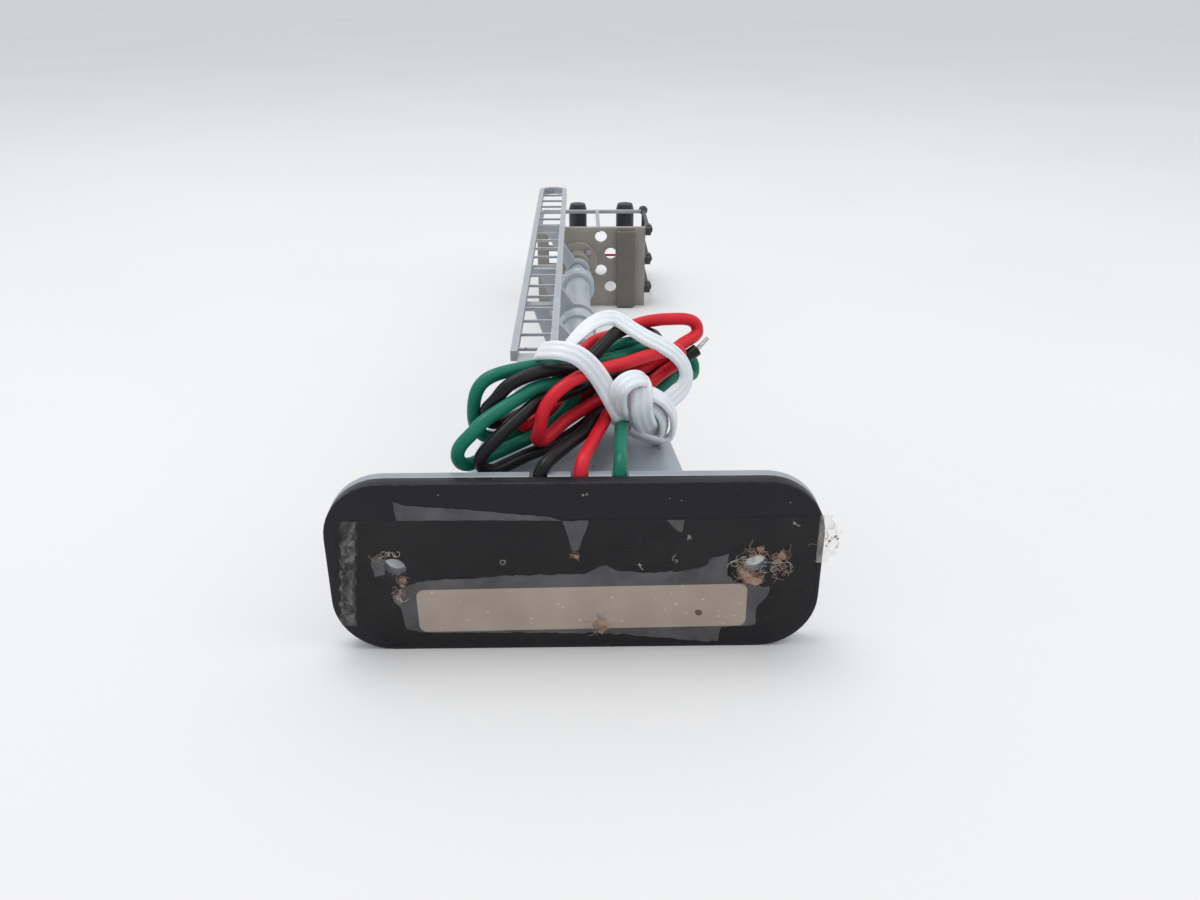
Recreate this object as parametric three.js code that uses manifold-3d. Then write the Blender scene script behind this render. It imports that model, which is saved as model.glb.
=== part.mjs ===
// A trackside colour-light signal for a model railway: a hollow cast base, a stepped tubular mast,
// a ladder, a lamp deck with railings and two lamp heads. It lies on its side, as it is stored.
// Millimetres. +Y runs along the mast from the underside of the base, +Z is up, +X is to the right.
import * as THREE from 'three';
import { mergeVertices } from 'three/addons/utils/BufferGeometryUtils.js';
import Module from 'manifold-3d';

const wasm = await Module();
wasm.setup();

// Driving dimensions.
const BASE_WIDTH = 60;
const BASE_HEIGHT = 23.4;
const BASE_CORNER = 7.3;
const COVER_THICK = 1.7;
const FLANGE_TOP = 3;
const SCREW_HOLE = 3.2;
const SCREW_X = 22.1;
const LABEL_LONG = 40.6;
const LABEL_HIGH = 6;
const LABEL_THICK = 0.12;
const LABEL_PLACE = { x: 0.8, z: -5.7, turn: -0.012 };
const WIRE = 1.7;
const WIRE_NOTCH = 2.2;
const WIRE_Y = 2.55;
const WIRE_X = { black: -4.3, red: 0.6, green: 5.4 };
const PEDESTAL_TOP = 8.8;
const SHOULDER = 32;
const SOCKET_START = 38.5;
const SOCKET_END = 43;
const LOWER_MAST_END = 91;
const MIDDLE_MAST_END = 121.5;
const UPPER_MAST_END = 164;
const MAST_FOOT = 4.7;
const LOWER_MAST = 3.2;
const MIDDLE_MAST = 2.8;
const UPPER_MAST = 1.9;
const DECK_Y = 143;
const DECK_THICK = 1.4;
const DECK_LEFT = -10;
const DECK_RIGHT = 16.8;
const DECK_HIGH = 8.3;
const FLOOR = -BASE_HEIGHT / 2;
const RAIL_Y = 166;
const HEAD_Y = 170;
const HEAD_X = { left: 0, right: 12.8 };
const LADDER_X = -6.5;
const LADDER_Z = 12;
const FIT = 0.03;

// Finishes.
const finish = (color, metalness, roughness) =>
  new THREE.MeshStandardMaterial({ color, metalness, roughness });
const silverPaint = finish(0xaab0b8, 0.6, 0.45);
const blackPlastic = finish(0x29282c, 0, 0.5);
const taupePaint = finish(0x8b857b, 0.2, 0.6);
const darkPaint = finish(0x5e5a52, 0.2, 0.6);
const blackPaint = finish(0x17181b, 0.1, 0.5);
const labelPaper = finish(0xa5948a, 0, 0.8);
const circuitLaminate = finish(0x8a6a3a, 0, 0.5);
const resistorBody = finish(0xc9b48a, 0, 0.5);
const steel = finish(0x9a9ca0, 1, 0.35);
const whitePlastic = finish(0xeeecee, 0, 0.4);
const tinnedCopper = finish(0xa8a6a2, 1, 0.4);
const wireColour = {
  black: finish(0x232126, 0, 0.45),
  red: finish(0xc8192a, 0, 0.45),
  green: finish(0x0b6e57, 0, 0.45),
};
const lensColour = { left: finish(0x1f8f5a, 0, 0.1), right: finish(0xb3202a, 0, 0.1) };
const lampResin = finish(0xe6e6e0, 0, 0.15);

const signal = new THREE.Group();

// A closed geometry as a solid, with its seams merged and its faces turned outwards.
function solid(geometry) {
  const bare = geometry.clone();
  bare.deleteAttribute('normal');
  bare.deleteAttribute('uv');
  const merged = mergeVertices(bare, 1e-4);
  const corner = (i) => new THREE.Vector3().fromBufferAttribute(merged.attributes.position, i);
  const faces = [];
  let volume = 0;
  for (let i = 0; i < merged.index.count; i += 3) {
    const [a, b, c] = [0, 1, 2].map((k) => merged.index.getX(i + k));
    if (a === b || b === c || c === a) continue;
    faces.push([a, b, c]);
    volume += corner(a).dot(corner(b).cross(corner(c)));
  }
  const outward = volume > 0 ? faces : faces.map(([a, b, c]) => [a, c, b]);
  const mesh = new wasm.Mesh({
    numProp: 3,
    vertProperties: new Float32Array(merged.attributes.position.array),
    triVerts: new Uint32Array(outward.flat()),
  });
  return new wasm.Manifold(mesh);
}

function geometryOf(body) {
  const mesh = body.getMesh();
  const geometry = new THREE.BufferGeometry();
  geometry.setAttribute('position', new THREE.BufferAttribute(mesh.vertProperties, 3));
  geometry.setIndex(new THREE.BufferAttribute(mesh.triVerts, 1));
  geometry.computeVertexNormals();
  return geometry;
}

function add(name, body, material, x = 0, y = 0, z = 0) {
  const mesh = new THREE.Mesh(geometryOf(body), material);
  mesh.name = name;
  mesh.position.set(x, y, z);
  signal.add(mesh);
  return mesh;
}

const joined = (bodies) => bodies.reduce((whole, body) => whole.add(body));
const cut = (body, tools) => tools.reduce((rest, tool) => rest.subtract(tool), body);

function roundedRect(width, height, corner) {
  const [x, y] = [width / 2, height / 2];
  const shape = new THREE.Shape();
  shape.moveTo(-x + corner, -y);
  shape.absarc(x - corner, -y + corner, corner, -Math.PI / 2, 0);
  shape.absarc(x - corner, y - corner, corner, 0, Math.PI / 2);
  shape.absarc(-x + corner, y - corner, corner, Math.PI / 2, Math.PI);
  shape.absarc(-x + corner, -y + corner, corner, Math.PI, 1.5 * Math.PI);
  return shape;
}

// A flat shape drawn in X and Z, given its thickness along Y.
function plate(shape, y, thick, curveSegments = 6) {
  const settings = { depth: thick, bevelEnabled: false, curveSegments };
  const geometry = new THREE.ExtrudeGeometry(shape, settings);
  geometry.rotateX(Math.PI / 2);
  geometry.translate(0, y + thick, 0);
  return solid(geometry);
}

function box(x, y, z, width, length, height) {
  return solid(new THREE.BoxGeometry(width, length, height).translate(x, y, z));
}

// A round bar along Y between two places, or along Z when it is laid over.
function bar(radius, from, to, x = 0, z = 0, sides = 12) {
  const geometry = new THREE.CylinderGeometry(radius, radius, to - from, sides);
  return solid(geometry.translate(x, (from + to) / 2, z));
}

function barAlongZ(radius, from, to, x, y, sides = 12) {
  const geometry = new THREE.CylinderGeometry(radius, radius, to - from, sides);
  return solid(geometry.rotateX(Math.PI / 2).translate(x, y, (from + to) / 2));
}

// A turned piece: profile points are radius and height along Y.
function turned(profile, sides = 24) {
  const points = profile.map(([radius, y]) => new THREE.Vector2(radius, y));
  return solid(new THREE.LatheGeometry(points, sides));
}

function tube(points, radius, steps, sides = 8) {
  const curve = new THREE.CatmullRomCurve3(points.map((point) => new THREE.Vector3(...point)));
  const section = new THREE.Shape();
  for (let i = 0; i < sides; i += 1) {
    const angle = (2 * Math.PI * i) / sides;
    const [x, y] = [radius * Math.cos(angle), radius * Math.sin(angle)];
    if (i === 0) section.moveTo(x, y);
    else section.lineTo(x, y);
  }
  const settings = { steps, extrudePath: curve, bevelEnabled: false };
  return solid(new THREE.ExtrudeGeometry(section, settings));
}

// Base: a black cover plate under a hollow silver casting, with a screw hole at each end.
const screwHoles = [-SCREW_X, SCREW_X].map((x) => bar(SCREW_HOLE / 2, -1, FLANGE_TOP + 1, x, 0, 20));
const baseOutline = roundedRect(BASE_WIDTH, BASE_HEIGHT, BASE_CORNER);
const labelOutline = (grow) => roundedRect(LABEL_LONG + 2 * grow, LABEL_HIGH + 2 * grow, 1 + grow);
const labelSeat = plate(labelOutline(0.1), -1, 1 + LABEL_THICK + 0.03, 4)
  .rotate([0, THREE.MathUtils.radToDeg(LABEL_PLACE.turn), 0])
  .translate([LABEL_PLACE.x, 0, LABEL_PLACE.z]);
add('base_cover', cut(plate(baseOutline, 0, COVER_THICK), [...screwHoles, labelSeat]), blackPlastic);

// Pedestal sections: distance from the underside, half width and half height.
const PEDESTAL = [
  [2.6, 15.5, PEDESTAL_TOP],
  [14, 14.4, PEDESTAL_TOP],
  [24, 13.4, 8.7],
  [SHOULDER, 12.5, 8.5],
  [34.6, 11.9, 8.1],
  [36.6, 10.3, 7.4],
  [37.8, 8.1, 6.6],
  [38.3, 6.2, 6],
];
const WALL = 1.6;

// A unit rounded block stretched to a list of sections along Y.
function loft(sections, corner) {
  const [, halfWidth, halfHeight] = sections[0];
  const outline = roundedRect(2 * halfWidth, 2 * halfHeight, corner);
  const steps = sections.length - 1;
  const settings = { depth: steps, steps, bevelEnabled: false, curveSegments: 5 };
  const geometry = new THREE.ExtrudeGeometry(outline, settings);
  geometry.rotateX(Math.PI / 2);
  geometry.translate(0, steps, 0);
  const place = geometry.attributes.position;
  for (let i = 0; i < place.count; i += 1) {
    const [y, width, height] = sections[Math.round(place.getY(i))];
    place.setXYZ(i, (place.getX(i) * width) / halfWidth, y, (place.getZ(i) * height) / halfHeight);
  }
  return solid(geometry);
}

const pedestal = loft(PEDESTAL, 4.2);
const hollowSections = PEDESTAL.slice(0, 4).map(([y, w, h]) => [y, w - WALL, h - WALL]);
hollowSections[0][0] = COVER_THICK - 1;
hollowSections[3][0] = SHOULDER - 1;
const hollow = loft(hollowSections, 2.8);
const NOTCH_TOP = 3.6;
const notchDeep = NOTCH_TOP - COVER_THICK + 1;
const notches = Object.values(WIRE_X).map((x) =>
  box(x, NOTCH_TOP - notchDeep / 2, 9.5, WIRE_NOTCH, notchDeep, 7)
);
const BOSS_TOP = -2.6;
const BOARD_SCREWS = [[-7, 24], [7, 10]];
const bosses = BOARD_SCREWS.map(([x, y]) => barAlongZ(1.6, -8, BOSS_TOP, x, y));
const casting = joined([
  cut(joined([plate(baseOutline, COVER_THICK, FLANGE_TOP - COVER_THICK), pedestal]), [hollow]),
  turned([[0, 37], [6.2, 37], [6.2, SOCKET_END - 0.6], [5.6, SOCKET_END], [0, SOCKET_END]]),
  ...bosses,
]);
const pilotHoles = BOARD_SCREWS.map(([x, y]) => barAlongZ(0.55, -6.4, 0, x, y, 8));
const mastBore = joined([
  bar(MAST_FOOT + FIT, SOCKET_START - 0.05, SOCKET_END + 1, 0, 0, 24),
  bar(1.8, SHOULDER - 3, SOCKET_START, 0, 0, 16),
]);
const setScrewHole = barAlongZ(0.75, 3, 8, 0, 41, 10);
add(
  'base_casting',
  cut(casting, [...screwHoles, ...notches, ...pilotHoles, mastBore, setScrewHole]),
  silverPaint
);
add('set_screw', barAlongZ(0.7, 4.85, 6.6, 0, 41, 10), steel);

// Underside label, a little askew below the screw holes, level with the cover so that the base lies flat.
const label = add('label', plate(labelOutline(0), 0, LABEL_THICK, 4), labelPaper);
label.position.set(LABEL_PLACE.x, 0.01, LABEL_PLACE.z);
label.rotation.y = LABEL_PLACE.turn;

// Circuit board inside the pedestal, held by two screws, with one resistor for each lamp.
const BOARD_THICK = 1;
const BOARD_Z = BOSS_TOP + 0.02;
const boardHoles = BOARD_SCREWS.map(([x, y]) => barAlongZ(0.6, -5, 0, x, y, 8));
const board = box(0, 17, BOARD_Z + BOARD_THICK / 2, 19, 20, BOARD_THICK);
add('circuit_board', cut(board, boardHoles), circuitLaminate);
BOARD_SCREWS.forEach(([x, y], i) => {
  const head = barAlongZ(1.1, BOARD_Z + BOARD_THICK + 0.02, BOARD_Z + BOARD_THICK + 0.7, x, y, 12);
  const shank = barAlongZ(0.5, -6, BOARD_Z + BOARD_THICK + 0.1, x, y, 8);
  add(`board_screw_${i + 1}`, head.add(shank), steel);
});
const RESISTOR_PROFILE = [
  [0, -4.5], [0.25, -4.5], [0.25, -3], [0.85, -2.8], [0.85, -2], [0.7, -1.7],
  [0.7, 1.7], [0.85, 2], [0.85, 2.8], [0.25, 3], [0.25, 4.5], [0, 4.5],
];
['red', 'green'].forEach((lamp, i) => {
  const resistor = turned(RESISTOR_PROFILE, 12);
  add(`resistor_${lamp}`, resistor, resistorBody, 1.5 + 3.4 * i, 19, -0.6);
});

// Mast: three tubes of falling diameter, joined by reducing collars.
const pipe = (inner, foot, outerFoot, top, outerTop) =>
  turned([[inner, foot], [outerFoot, foot], [outerTop, top], [inner, top], [inner, foot]]);
add(
  'mast_lower',
  turned([
    [1.8, SOCKET_START], [MAST_FOOT, SOCKET_START], [MAST_FOOT, SOCKET_END + 1],
    [LOWER_MAST, LOWER_MAST_END - 4], [LOWER_MAST, LOWER_MAST_END - 0.05],
    [1.8, LOWER_MAST_END - 0.05], [1.8, SOCKET_START],
  ]),
  silverPaint
);
const middleTube = pipe(1.6, LOWER_MAST_END, MIDDLE_MAST, MIDDLE_MAST_END - 0.05, MIDDLE_MAST);
add('mast_middle', middleTube, silverPaint);
const UPPER_BORE = 1.2;
const leadWindow = box(1.7, 148, 0, 1.6, 3, 1.6);
add(
  'mast_upper',
  cut(pipe(UPPER_BORE, MIDDLE_MAST_END, UPPER_MAST, UPPER_MAST_END, UPPER_MAST), [leadWindow]),
  silverPaint
);

function collar(name, joint, below, above, outer) {
  const [low, high] = [joint - 3, joint + 2.5];
  const profile = [
    [below + FIT, low], [outer - 0.3, low], [outer, low + 0.3], [outer, high - 0.6],
    [outer - 0.6, high], [above + FIT, high], [above + FIT, joint - 0.02],
    [below + FIT, joint - 0.02], [below + FIT, low],
  ];
  add(name, turned(profile), silverPaint);
}
collar('mast_collar_1', LOWER_MAST_END, LOWER_MAST, MIDDLE_MAST, 3.8);
collar('mast_collar_2', MIDDLE_MAST_END, MIDDLE_MAST, UPPER_MAST, 3.8);

// Ladder: two flat rails with round-topped hoop, and a rung every 7 mm.
const RUNG_PITCH = 7;
const LADDER_START = 42;
const LADDER_END = 168;
const RAIL_HALF_GAP = 3.05;
const RAIL_WIDE = 1.1;
const RAIL_DEEP = 1.7;
const railMiddle = (LADDER_START + LADDER_END) / 2;
const railLong = LADDER_END - LADDER_START;
const railSide = (side) =>
  box(LADDER_X + side * RAIL_HALF_GAP, railMiddle, LADDER_Z, RAIL_WIDE, railLong, RAIL_DEEP);
const rungs = [];
for (let y = LADDER_START + 3; y < LADDER_END; y += RUNG_PITCH) {
  rungs.push(box(LADDER_X, y, LADDER_Z, 2 * RAIL_HALF_GAP, 0.45, 0.45));
}
const hoopShape = new THREE.Shape();
hoopShape.absarc(0, 0, RAIL_HALF_GAP + RAIL_WIDE / 2, 0, Math.PI);
hoopShape.absarc(0, 0, RAIL_HALF_GAP - RAIL_WIDE / 2, Math.PI, 0, true);
const hoopSettings = { depth: RAIL_DEEP, bevelEnabled: false, curveSegments: 10 };
const hoopGeometry = new THREE.ExtrudeGeometry(hoopShape, hoopSettings);
hoopGeometry.translate(LADDER_X, LADDER_END - 0.1, LADDER_Z - RAIL_DEEP / 2);
add('ladder', joined([railSide(-1), railSide(1), ...rungs, solid(hoopGeometry)]), silverPaint);

// Ladder stays: a clamp ring round the mast with an arm out to a shelf under the ladder.
function stay(name, y, mastRadius) {
  const ring = new THREE.Shape();
  ring.absarc(0, 0, mastRadius + 1, 0, 2 * Math.PI);
  const hole = new THREE.Path();
  hole.absarc(0, 0, mastRadius + FIT * 2, 0, 2 * Math.PI, true);
  const reach = LADDER_Z - 0.9;
  const arm = new THREE.Shape();
  arm.moveTo(-mastRadius - 0.6, 0.5);
  arm.lineTo(LADDER_X - 1.2, reach - 1.2);
  arm.lineTo(LADDER_X - RAIL_HALF_GAP - 0.6, reach - 1.2);
  arm.lineTo(LADDER_X - RAIL_HALF_GAP - 0.6, reach);
  arm.lineTo(LADDER_X + RAIL_HALF_GAP + 0.6, reach);
  arm.lineTo(LADDER_X + RAIL_HALF_GAP + 0.6, reach - 1.2);
  arm.lineTo(LADDER_X + 1.2, reach - 1.2);
  arm.lineTo(-0.4, mastRadius + 0.6);
  const body = plate(ring, y - 1, 2, 12).add(plate(arm, y - 1, 2));
  add(name, body.subtract(plate(new THREE.Shape(hole.getPoints(12)), y - 2, 4)), silverPaint);
}
stay('ladder_stay_1', 72, 3.85);
stay('ladder_stay_2', 96, MIDDLE_MAST);
stay('ladder_stay_3', 134, UPPER_MAST);

// Ladder foot: a bracket screwed to the pedestal's shoulder.
const footBlock = joined([
  box(LADDER_X, 34.5, 9.35, 5, 5, 0.9),
  box(LADDER_X, 37.4, 10.2, 5, 0.9, 2.6),
  box(LADDER_X, 40.4, 11.5, 5, 6, 0.9),
]);
add('ladder_foot', footBlock, silverPaint);

// Deck: a drilled plate across the mast, with a channel under it and a socket that grips the mast.
const deckShape = new THREE.Shape();
deckShape.moveTo(DECK_LEFT, FLOOR);
deckShape.lineTo(DECK_RIGHT, FLOOR);
deckShape.lineTo(DECK_RIGHT, DECK_HIGH);
deckShape.lineTo(DECK_LEFT, DECK_HIGH);
const roundHoles = [];
const squareHoles = [];
for (let i = 0; i < 4; i += 1) {
  roundHoles.push(bar(1.5, DECK_Y - 1, DECK_Y + 3, 5.8 + 2.4 * (i % 2), 6 - 4.25 * i, 16));
  squareHoles.push(box(-5.4, DECK_Y, 5.3 - 4.5 * i, 3.6, 6, 3.3));
}
const SOCKET_SCREW_RING = 3.75;
const socketScrews = [45, 135, 225, 315].map((degrees) => {
  const angle = THREE.MathUtils.degToRad(degrees);
  return [SOCKET_SCREW_RING * Math.cos(angle), SOCKET_SCREW_RING * Math.sin(angle)];
});
const socketHoles = socketScrews.map(([x, z]) => bar(0.45, DECK_Y - 3, DECK_Y + 3, x, z, 8));
const mastHole = bar(UPPER_MAST + FIT, DECK_Y - 10, DECK_Y + 5, 0, 0, 24);
const postHole = bar(1.3 + FIT, DECK_Y - 0.5, DECK_Y + 5, HEAD_X.right, 0, 16);
const deckHoles = [...roundHoles, ...squareHoles, ...socketHoles, mastHole, postHole];
add('deck', cut(plate(deckShape, DECK_Y, DECK_THICK), deckHoles), taupePaint);
const deckSocket = turned([
  [0, DECK_Y - 5], [2.9, DECK_Y - 5], [2.9, DECK_Y - 1.2], [4.9, DECK_Y - 1.2],
  [4.9, DECK_Y - 0.02], [0, DECK_Y - 0.02],
]);
add('deck_socket', cut(deckSocket, [mastHole, ...socketHoles]), taupePaint);
socketScrews.forEach(([x, z], i) => {
  const head = bar(0.75, DECK_Y - 1.9, DECK_Y - 1.24, x, z, 10);
  const shank = bar(0.42, DECK_Y - 1.3, DECK_Y + DECK_THICK - 0.2, x, z, 8);
  add(`deck_screw_${i + 1}`, head.add(shank), steel);
});
const CHANNEL_LEFT = 9.7;
const CHANNEL_RIGHT = 14.2;
const channelMiddle = (CHANNEL_LEFT + CHANNEL_RIGHT) / 2;
const channelWidth = CHANNEL_RIGHT - CHANNEL_LEFT;
const channel = box(channelMiddle, DECK_Y - 1.12, -1.8, channelWidth, 2.2, 19);
const channelInside = box(channelMiddle, DECK_Y - 0.3, -1.8, channelWidth - 1.4, 2.2, 20);
add('deck_channel', channel.subtract(channelInside), darkPaint);

// Railings round the deck: square bars, posts standing on the plate.
const BAR = 0.9;
const HIGH_RAIL_Z = 7.3;
const LOW_RAIL_Z = -10.8;
const POST_X = 17.6;
const deckTop = DECK_Y + DECK_THICK;
const railPost = (x, z) => box(x, (deckTop + RAIL_Y) / 2, z, BAR, RAIL_Y - deckTop, BAR);
function railing(name, from, to, z, posts) {
  const rail = box((from + to) / 2, RAIL_Y, z, to - from, BAR, BAR);
  add(name, joined([rail, ...posts.map((x) => railPost(x, z))]), silverPaint);
}
railing('railing_top', DECK_LEFT, POST_X - 0.6, HIGH_RAIL_Z, [DECK_LEFT + 0.6, 5.2]);
railing('railing_bottom', DECK_LEFT, POST_X - 0.6, LOW_RAIL_Z, [DECK_LEFT + 0.6, 5.2]);

// The right-hand posts stand in black sockets on the edge of the deck.
const SOCKET_PITCH = 7.3;
const socketZ = [0, 1, 2].map((i) => HIGH_RAIL_Z - SOCKET_PITCH * i);
const SIDE_POST_FOOT = 145;
const sidePostLong = RAIL_Y - SIDE_POST_FOOT;
const sidePostMiddle = SIDE_POST_FOOT + sidePostLong / 2;
const sidePosts = socketZ.map((z) => box(POST_X, sidePostMiddle, z, BAR, sidePostLong, BAR));
const sideRailLong = HIGH_RAIL_Z - LOW_RAIL_Z + BAR;
const sideRail = box(POST_X, RAIL_Y, (HIGH_RAIL_Z + LOW_RAIL_Z) / 2, BAR, BAR, sideRailLong);
add('railing_right', joined([sideRail, ...sidePosts]), blackPaint);
socketZ.forEach((z, i) => {
  const body = joined([
    bar(1.15, 144.9, 147.4, POST_X, z, 12),
    box(POST_X - 0.1, 143.9, z, 1.3, 2.4, 1.8),
  ]);
  const hole = box(POST_X, 147, z, BAR + 0.06, 4.06, BAR + 0.06);
  add(`post_socket_${i + 1}`, body.subtract(hole), blackPaint);
});
const knob = turned([[0, 0], [0.9, 0.3], [1.25, 1], [0.9, 1.9], [0, 2.2]], 12);
add('corner_knob', knob, blackPaint, POST_X, RAIL_Y + BAR / 2 + 0.02, HIGH_RAIL_Z);

// Lamp heads: a round target, a housing behind it, a hood and a lens in front, and a lamp inside.
const TARGET = 4.6;
const TARGET_Z = -1.5;
for (const side of ['left', 'right']) {
  const x = HEAD_X[side];
  const place = (body, name, material) => add(`${name}_${side}`, body, material, x, HEAD_Y, 0);
  const upright = (profile, sides = 20) => {
    const points = profile.map(([radius, z]) => new THREE.Vector2(radius, z));
    return solid(new THREE.LatheGeometry(points, sides).rotateX(Math.PI / 2));
  };
  const housing = upright([
    [1.7, TARGET_Z + 0.8], [2.4, TARGET_Z + 0.8], [2.4, 7.2], [2, 8.6], [0, 9],
    [0, 7.8], [1.5, 7.4], [1.7, 6.8], [1.7, TARGET_Z + 0.8],
  ]);
  const stem = box(0, -3.4, 0.7, 2.6, 3.6, 2.6).subtract(upright([[0, -3], [1.9, -3], [1.9, 3], [0, 3]]));
  const stemBore = bar(side === 'left' ? UPPER_MAST + FIT : 1.3 + FIT, -9, -5.6, 0, 0, 16);
  const sleeveRadius = side === 'left' ? 2.7 : 2.1;
  const sleeve = bar(sleeveRadius, -8.4, -4.7, 0, 0, 16);
  const wireWay = bar(0.8, -9, -1, 0, 0, 8);
  const body = cut(joined([housing, stem, sleeve]), [stemBore, wireWay]);
  place(body, 'housing', blackPaint);
  const [front, back] = [TARGET_Z, TARGET_Z + 0.76];
  const targetProfile = [[1.6, front], [TARGET, front], [TARGET, back], [1.6, back], [1.6, front]];
  place(upright(targetProfile, 32), 'target', blackPaint);
  const drum = (radius, from, to) => upright([[0, from], [radius, from], [radius, to], [0, to]]);
  const hoodOuter = drum(2.5, TARGET_Z - 6, TARGET_Z - 0.02);
  const hoodInner = drum(2.15, TARGET_Z - 7, TARGET_Z + 1);
  const hoodMouth = box(0, -4.2, TARGET_Z - 4.4, 6, 5, 6.4);
  place(cut(hoodOuter, [hoodInner, hoodMouth]), 'hood', blackPaint);
  const lensProfile = [
    [0, TARGET_Z - 1.4], [1.2, TARGET_Z - 1.1], [1.5, TARGET_Z - 0.4],
    [1.5, TARGET_Z + 0.5], [0, TARGET_Z + 0.5],
  ];
  place(upright(lensProfile), 'lens', lensColour[side]);
  const lampProfile = [[0, 0], [0.8, 0.3], [1.1, 1], [1.1, 4], [1.35, 4], [1.35, 4.6], [0, 4.6]];
  place(upright(lampProfile, 16), 'lamp', lampResin);
}
add('post_right', pipe(0.8, DECK_Y + 0.02, 1.3, HEAD_Y - 5.65, 1.3), silverPaint, HEAD_X.right, 0, 0);

// Thin leads from the board up the mast: one to each lamp.
const LEAD = 0.6;
const leftLead = [
  [-1, 22, 0], [-0.6, 27, 0.6], [-0.55, 40, 0.2], [-0.55, 90, 0.2], [-0.5, 140, 0.2], [-0.3, 163, 0],
  [0, 167.4, 0],
];
const rightLead = [
  [0.9, 22, 0], [0.6, 27, 0.4], [0.55, 40, 0], [0.55, 90, 0], [0.55, 140, 0], [0.75, 146, 0],
  [1.7, 148, 0], [3.2, 148.6, 0], [8, 148.6, 0], [10.6, 148.6, 0],
];
add('lead_left', tube(leftLead, LEAD / 2, 40, 6), wireColour.green);
add('lead_right', tube(rightLead, LEAD / 2, 48, 6), wireColour.red);

// Wires: each leaves a notch in the flange and runs up the face of the pedestal to the hank.
const ROUTES = {
  black: [
    [-4.3, 9, -0.4], [-4.3, 5, 1.4], [-4.3, 2.7, 5], [-4.3, WIRE_Y, 8.5], [-4.2, 2.6, 11], [-3.6, 3.2, 12.4],
    [-2.5, 4.9, 12.9], [-1.1, 7.1, 13.1], [0.1, 9, 13.2], [0.9, 10.4, 13.2],
  ],
  red: [
    [0.6, 9, -0.4], [0.6, 5, 1.4], [0.6, 2.7, 5], [0.6, WIRE_Y, 8.5], [0.7, 2.6, 11.3], [1, 3.8, 12.7],
    [1.5, 5.8, 12.9], [2.2, 8.4, 13], [2.9, 10.9, 13.2], [3.6, 13.2, 13.4],
  ],
  green: [
    [5.4, 9, -0.4], [5.4, 5, 1.4], [5.4, 2.7, 5], [5.4, WIRE_Y, 8.5], [5.4, 2.6, 11.3], [5.5, 3.8, 12.7],
    [5.6, 6, 13], [5.7, 8.6, 13], [5.8, 11, 13], [5.9, 13.2, 12.9],
  ],
};
for (const [colour, route] of Object.entries(ROUTES)) {
  add(`wire_${colour}`, tube(route, WIRE / 2, 14), wireColour[colour]);
}

// Hank: the outer shape of the wound wires, a tapered block with round ends, standing on the pedestal.
// It is drawn lengthwise in X, with its thickness in Y, and then turned across the pedestal.
const HANK_LEFT = { along: -16.2, z: 15.6, radius: 6 };
const HANK_RIGHT = { along: 12.2, z: 19.2, radius: 4.2 };
const HANK_THICK = 7;
const HANK_MIDDLE = -0.9;
const HANK_FRONT = HANK_MIDDLE - HANK_THICK / 2;
const HANK_PLACE = { x: 3, y: 20, turn: 0.555 };
const alongHank = (name, body, material, x = 0, z = 0, tip = 0) => {
  const holder = new THREE.Group();
  holder.position.set(HANK_PLACE.x, HANK_PLACE.y, 0);
  holder.rotation.z = HANK_PLACE.turn;
  const mesh = add(name, body, material);
  mesh.position.set(x, 0, z);
  mesh.rotation.y = tip;
  holder.add(mesh);
  signal.add(holder);
};
const hankShape = new THREE.Shape();
const lean = Math.atan2(HANK_RIGHT.z - HANK_LEFT.z, HANK_RIGHT.along - HANK_LEFT.along);
const quarter = Math.PI / 2;
hankShape.absarc(HANK_LEFT.along, HANK_LEFT.z, HANK_LEFT.radius, lean + quarter, lean + 3 * quarter);
hankShape.absarc(HANK_RIGHT.along, HANK_RIGHT.z, HANK_RIGHT.radius, lean - quarter, lean + quarter);
alongHank('wire_hank', plate(hankShape, HANK_FRONT, HANK_THICK, 10), wireColour.black);

// Tie: a flat band round the hank, leaning to the left, knotted in front, with one loose arch over it.
const TIE_WIDE = 2.7;
const TIE_THICK = 0.9;
const BAND = { along: -2, z: 17.3, tilt: -0.5, deep: HANK_THICK + 2.6, high: 16.4 };
const bandShape = roundedRect(BAND.deep, BAND.high, 1.5);
const bandInside = roundedRect(BAND.deep - 2 * TIE_THICK, BAND.high - 2 * TIE_THICK, 1);
bandShape.holes.push(new THREE.Path(bandInside.getPoints(4)));
const bandSettings = { depth: TIE_WIDE, bevelEnabled: false, curveSegments: 4 };
const bandGeometry = new THREE.ExtrudeGeometry(bandShape, bandSettings);
bandGeometry.translate(0, 0, -TIE_WIDE / 2).rotateX(quarter).rotateZ(quarter);
bandGeometry.rotateY(BAND.tilt).translate(BAND.along, HANK_MIDDLE, BAND.z);
const knotGeometry = new THREE.SphereGeometry(1, 16, 10).scale(4.2, 2.2, 3.8);
knotGeometry.translate(5.2, HANK_FRONT - 2.5, 13.2);
const ARCH = [
  [-5.4, -5.6, 23.4], [-2.5, -5.8, 24.9], [1.5, -5.8, 25.4], [6, -5.8, 24.6], [9.6, -5.8, 22],
  [11.2, -5.8, 18.4], [10.2, -6, 15], [7.6, -6.4, 13],
];
const tie = joined([solid(bandGeometry), solid(knotGeometry), tube(ARCH, TIE_THICK, 20, 6)]);
alongHank('wire_tie', tie, whitePlastic);

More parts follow.
